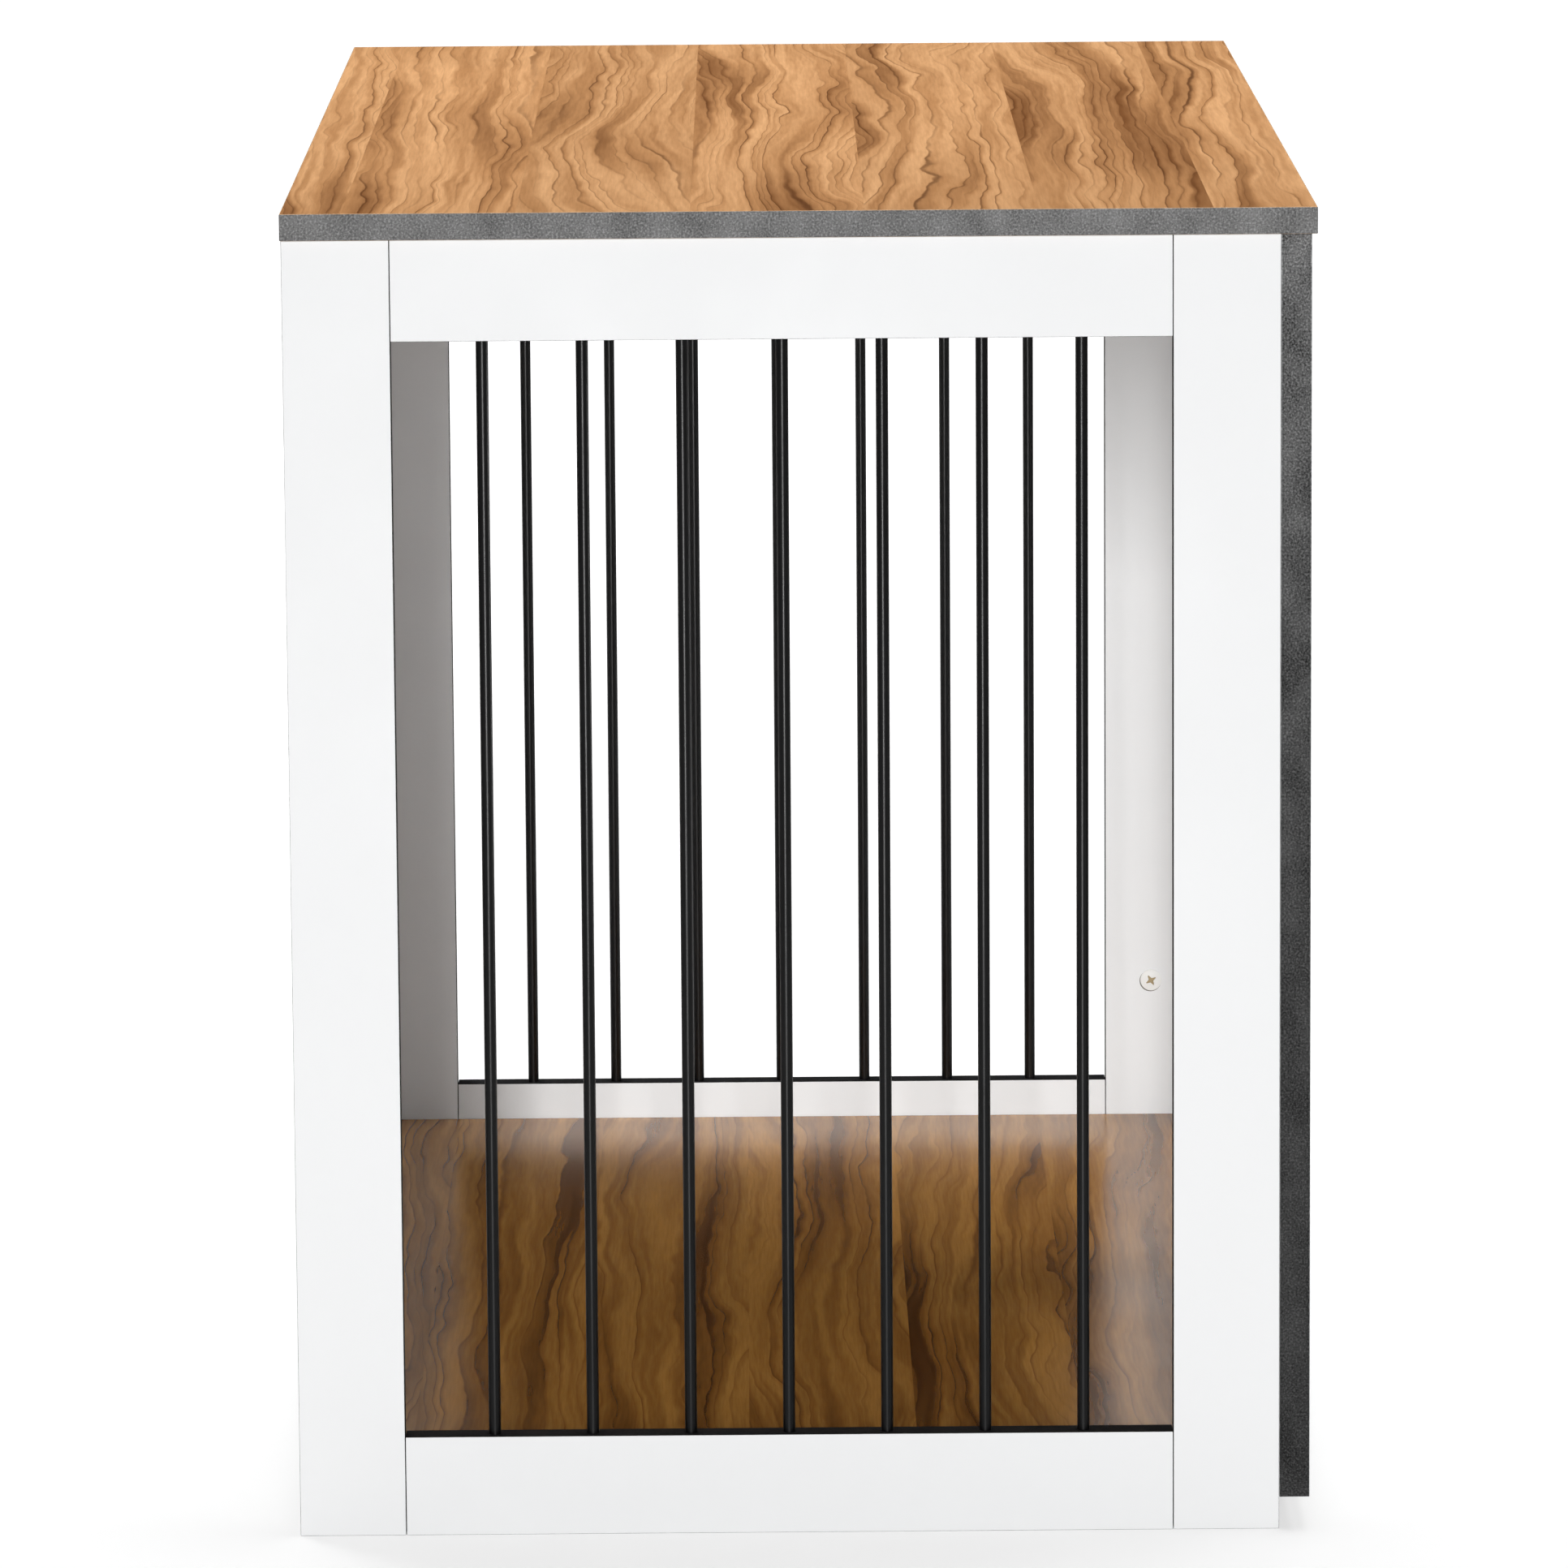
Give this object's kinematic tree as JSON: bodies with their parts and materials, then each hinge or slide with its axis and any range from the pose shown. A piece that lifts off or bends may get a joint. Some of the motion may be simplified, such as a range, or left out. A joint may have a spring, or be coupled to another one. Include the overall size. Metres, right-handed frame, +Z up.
{
  "type": "dog crate end table",
  "caption": "Furniture-style dog crate end table: wood-grain top and floor, white board frames, black steel side bars, two hinged barred front doors and a sliding bolt.",
  "frame": {"origin": "on the surface that the table stands on, under the middle of its box, which the door knobs reach to at the front", "axes": "+X along the table's length, towards the right-hand side frame as seen from the doors; +Y from the doors towards the closed back; +Z up"},
  "size_m": [0.9, 0.5196, 0.654],
  "materials": {
    "white_board": "white satin laminate on both faces of a board, with bare dark grey speckled edges",
    "wood_grain_board": "satin caramel wood-grain laminate with dark wavy veins along the table's length, and bare dark grey speckled edges",
    "black_bar_steel": "satin black powder coat on round steel bars",
    "black_hinge_steel": "satin black hinge steel",
    "black_fittings": "satin black knobs, bolt, guide and keeper"
  },
  "bodies": {
    "cabinet": {"table_top": "wood_grain_board", "floor_panel": "wood_grain_board", "back_panel": "white_board", "left_front_stile": "white_board", "left_rear_stile": "white_board", "left_top_rail": "white_board", "left_bottom_rail": "white_board", "left_bar_1": "black_bar_steel", "left_bar_2": "black_bar_steel", "left_bar_3": "black_bar_steel", "left_bar_4": "black_bar_steel", "left_bar_5": "black_bar_steel", "left_bar_6": "black_bar_steel", "left_bar_7": "black_bar_steel", "right_front_stile": "white_board", "right_rear_stile": "white_board", "right_top_rail": "white_board", "right_bottom_rail": "white_board", "right_bar_1": "black_bar_steel", "right_bar_2": "black_bar_steel", "right_bar_3": "black_bar_steel", "right_bar_4": "black_bar_steel", "right_bar_5": "black_bar_steel", "right_bar_6": "black_bar_steel", "right_bar_7": "black_bar_steel", "front_left_post": "white_board", "front_right_post": "white_board", "front_top_rail": "white_board", "front_bottom_rail": "white_board", "left_lower_hinge_frame_leaf": "black_hinge_steel", "left_upper_hinge_frame_leaf": "black_hinge_steel", "right_lower_hinge_frame_leaf": "black_hinge_steel", "right_upper_hinge_frame_leaf": "black_hinge_steel"},
    "left_door": {"left_door_hinge_stile": "white_board", "left_door_latch_stile": "white_board", "left_door_top_rail": "white_board", "left_door_bottom_rail": "white_board", "left_door_bar_1": "black_bar_steel", "left_door_bar_2": "black_bar_steel", "left_door_bar_3": "black_bar_steel", "left_door_bar_4": "black_bar_steel", "left_door_bar_5": "black_bar_steel", "left_lower_hinge_door_leaf": "black_hinge_steel", "left_upper_hinge_door_leaf": "black_hinge_steel", "left_door_knob": "black_fittings", "latch_guide": "black_fittings"},
    "right_door": {"right_door_hinge_stile": "white_board", "right_door_latch_stile": "white_board", "right_door_top_rail": "white_board", "right_door_bottom_rail": "white_board", "right_door_bar_1": "black_bar_steel", "right_door_bar_2": "black_bar_steel", "right_door_bar_3": "black_bar_steel", "right_door_bar_4": "black_bar_steel", "right_door_bar_5": "black_bar_steel", "right_lower_hinge_door_leaf": "black_hinge_steel", "right_upper_hinge_door_leaf": "black_hinge_steel", "right_door_knob": "black_fittings", "latch_keeper": "black_fittings"},
    "latch_bolt": {"latch_bolt": "black_fittings"}
  },
  "joints": [
    {"name": "left_door_hinge", "type": "hinge", "parent": "cabinet", "child": "left_door", "pos_m": [-0.3935, -0.23775, 0.3285], "axis": [0, 0, -1], "range_deg": [0, 165]},
    {"name": "right_door_hinge", "type": "hinge", "parent": "cabinet", "child": "right_door", "pos_m": [0.3935, -0.23775, 0.3285], "axis": [0, 0, 1], "range_deg": [0, 165]},
    {"name": "latch_bolt_slide", "type": "slide", "parent": "left_door", "child": "latch_bolt", "axis": [1, 0, 0], "range_m": [0, 0.016]}
  ]
}
